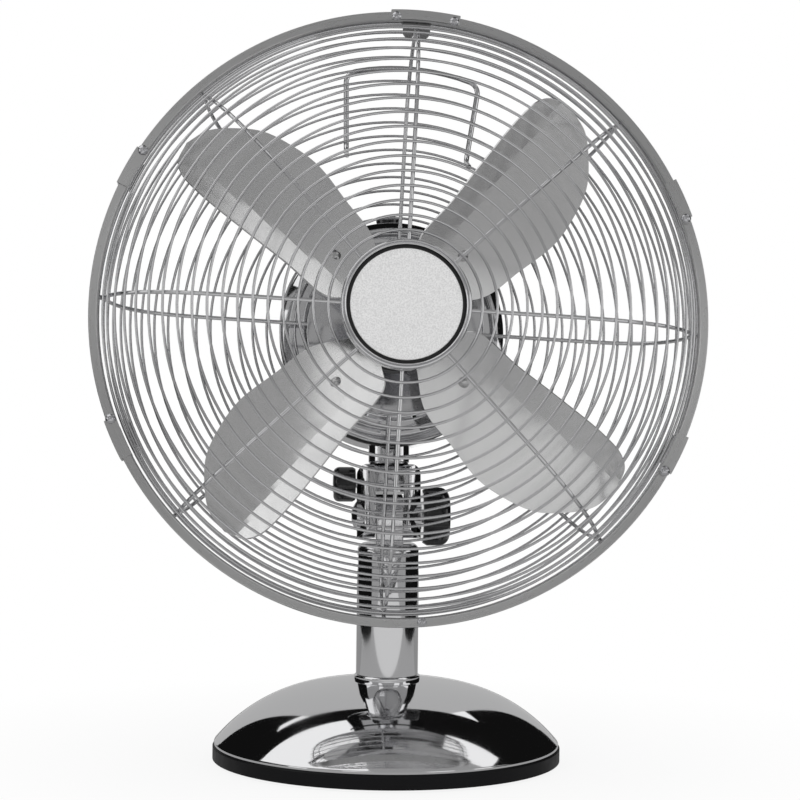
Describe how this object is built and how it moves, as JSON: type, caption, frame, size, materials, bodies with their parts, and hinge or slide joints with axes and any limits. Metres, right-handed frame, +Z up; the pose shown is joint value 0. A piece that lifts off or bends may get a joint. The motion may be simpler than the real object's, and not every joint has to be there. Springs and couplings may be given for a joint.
{
  "type": "desk fan",
  "caption": "Oscillating desk fan with a chromed wire guard, satin metal blades, a chromed motor housing, a tilting neck and a round domed base.",
  "frame": {"origin": "on the floor under the middle of the base, where the rubber feet stand", "axes": "+Z up along the neck, the air leaves towards -Y, +X to the right seen from the front"},
  "size_m": [0.34, 0.2449, 0.43],
  "materials": {
    "chrome_plate": "polished chrome plate",
    "brushed_ring": "brushed along the ring",
    "satin_blade": "satin, fine lengthwise grain",
    "badge_silver": "fine sandblasted silver",
    "black_gloss": "glossy black moulding",
    "black_matte": "fine matte black moulding",
    "black_paint": "black powder coat",
    "raw_iron": "rough casting",
    "black_rubber": "soft matte rubber",
    "plated_steel": "bright zinc plate",
    "die_cast": "dull die casting",
    "core_steel": "edges of thin steel sheets",
    "copper_wire": "varnished wire",
    "bronze": "oiled sintered bush"
  },
  "bodies": {
    "stand": {"base_dome": "chrome_plate", "base_skirt": "black_gloss", "base_plate": "black_paint", "ballast_weight": "raw_iron", "rubber_feet": "black_rubber", "base_screws": "plated_steel", "cord_gland": "black_matte", "speed_switch": "black_matte", "neck_collar": "chrome_plate", "neck_tube": "chrome_plate", "neck_head": "chrome_plate", "neck_stud": "plated_steel", "neck_nut": "plated_steel"},
    "knob_speed": {"speed_knob": "black_gloss"},
    "yoke": {"yoke_fork": "chrome_plate", "pivot_bolt": "chrome_plate", "spindle": "plated_steel", "thrust_washer": "plated_steel"},
    "knob_tilt": {"tilt_knob": "black_gloss"},
    "knob_lock": {"lock_knob": "black_gloss", "lock_screw": "plated_steel"},
    "head": {"front_guard": "chrome_plate", "rear_guard": "chrome_plate", "carry_handle": "chrome_plate", "guard_ring": "brushed_ring", "ring_strap": "brushed_ring", "ring_screws": "plated_steel", "rim_bracket": "black_matte", "badge_rim": "chrome_plate", "badge_disc": "badge_silver", "badge_clamp": "plated_steel", "badge_screw": "plated_steel", "latch_rivets": "plated_steel", "motor_front_cover": "chrome_plate", "motor_rear_cover": "chrome_plate", "motor_band": "black_gloss", "motor_front_shield": "die_cast", "motor_rear_shield": "die_cast", "stator_core": "core_steel", "stator_windings": "copper_wire", "motor_bearings": "bronze", "guard_nut": "black_matte", "gearbox_case": "chrome_plate"},
    "rotor": {"motor_shaft": "plated_steel", "rotor_core": "core_steel", "blade_hub": "plated_steel", "blade_rivets": "satin_blade", "hub_nut": "black_matte", "fan_blade_1": "satin_blade", "fan_blade_2": "satin_blade", "fan_blade_3": "satin_blade", "fan_blade_4": "satin_blade"},
    "knob_swing": {"oscillation_knob": "black_gloss"},
    "latch_1": {"guard_latch_1": "brushed_ring"},
    "latch_2": {"guard_latch_2": "brushed_ring"},
    "latch_3": {"guard_latch_3": "brushed_ring"},
    "latch_4": {"guard_latch_4": "brushed_ring"}
  },
  "joints": [
    {"name": "speed_turn", "type": "hinge", "parent": "stand", "child": "knob_speed", "pos_m": [0, 0.072, 0.03483], "axis": [0, 0.4641, 0.8858], "range_deg": [0, 135]},
    {"name": "tilt", "type": "hinge", "parent": "stand", "child": "yoke", "pos_m": [0, 0, 0.1435], "axis": [-1, 0, 0], "range_deg": [-17, 15]},
    {"name": "tilt_knob_turn", "type": "hinge", "parent": "yoke", "child": "knob_tilt", "pos_m": [0.0198, 0, 0.1435], "axis": [1, 0, 0], "range_deg": [0, 360]},
    {"name": "lock_knob_turn", "type": "hinge", "parent": "yoke", "child": "knob_lock", "pos_m": [-0.0198, 0.00227, 0.16196], "axis": [-1, 0, 0], "range_deg": [0, 360]},
    {"name": "swing", "type": "hinge", "parent": "yoke", "child": "head", "pos_m": [0, 0.00372, 0.17377], "axis": [0, 0.1219, 0.9925], "range_deg": [-40, 40]},
    {"name": "spin", "type": "hinge", "parent": "head", "child": "rotor", "pos_m": [0, 0.01273, 0.24722], "axis": [0, 0.9925, -0.1219], "continuous": true},
    {"name": "swing_knob_pull", "type": "slide", "parent": "head", "child": "knob_swing", "axis": [0, 0.1219, 0.9925], "range_m": [0, 0.008]},
    {"name": "latch_1_turn", "type": "hinge", "parent": "head", "child": "latch_1", "pos_m": [0.1577, -0.08567, 0.31557], "axis": [0, 0.9925, -0.1219], "range_deg": [0, 75]},
    {"name": "latch_2_turn", "type": "hinge", "parent": "head", "child": "latch_2", "pos_m": [0.14459, -0.10273, 0.17661], "axis": [0, 0.9925, -0.1219], "range_deg": [0, 75]},
    {"name": "latch_3_turn", "type": "hinge", "parent": "head", "child": "latch_3", "pos_m": [-0.15681, -0.09958, 0.20226], "axis": [0, 0.9925, -0.1219], "range_deg": [0, 75]},
    {"name": "latch_4_turn", "type": "hinge", "parent": "head", "child": "latch_4", "pos_m": [-0.14157, -0.08161, 0.34863], "axis": [0, 0.9925, -0.1219], "range_deg": [0, 75]}
  ]
}
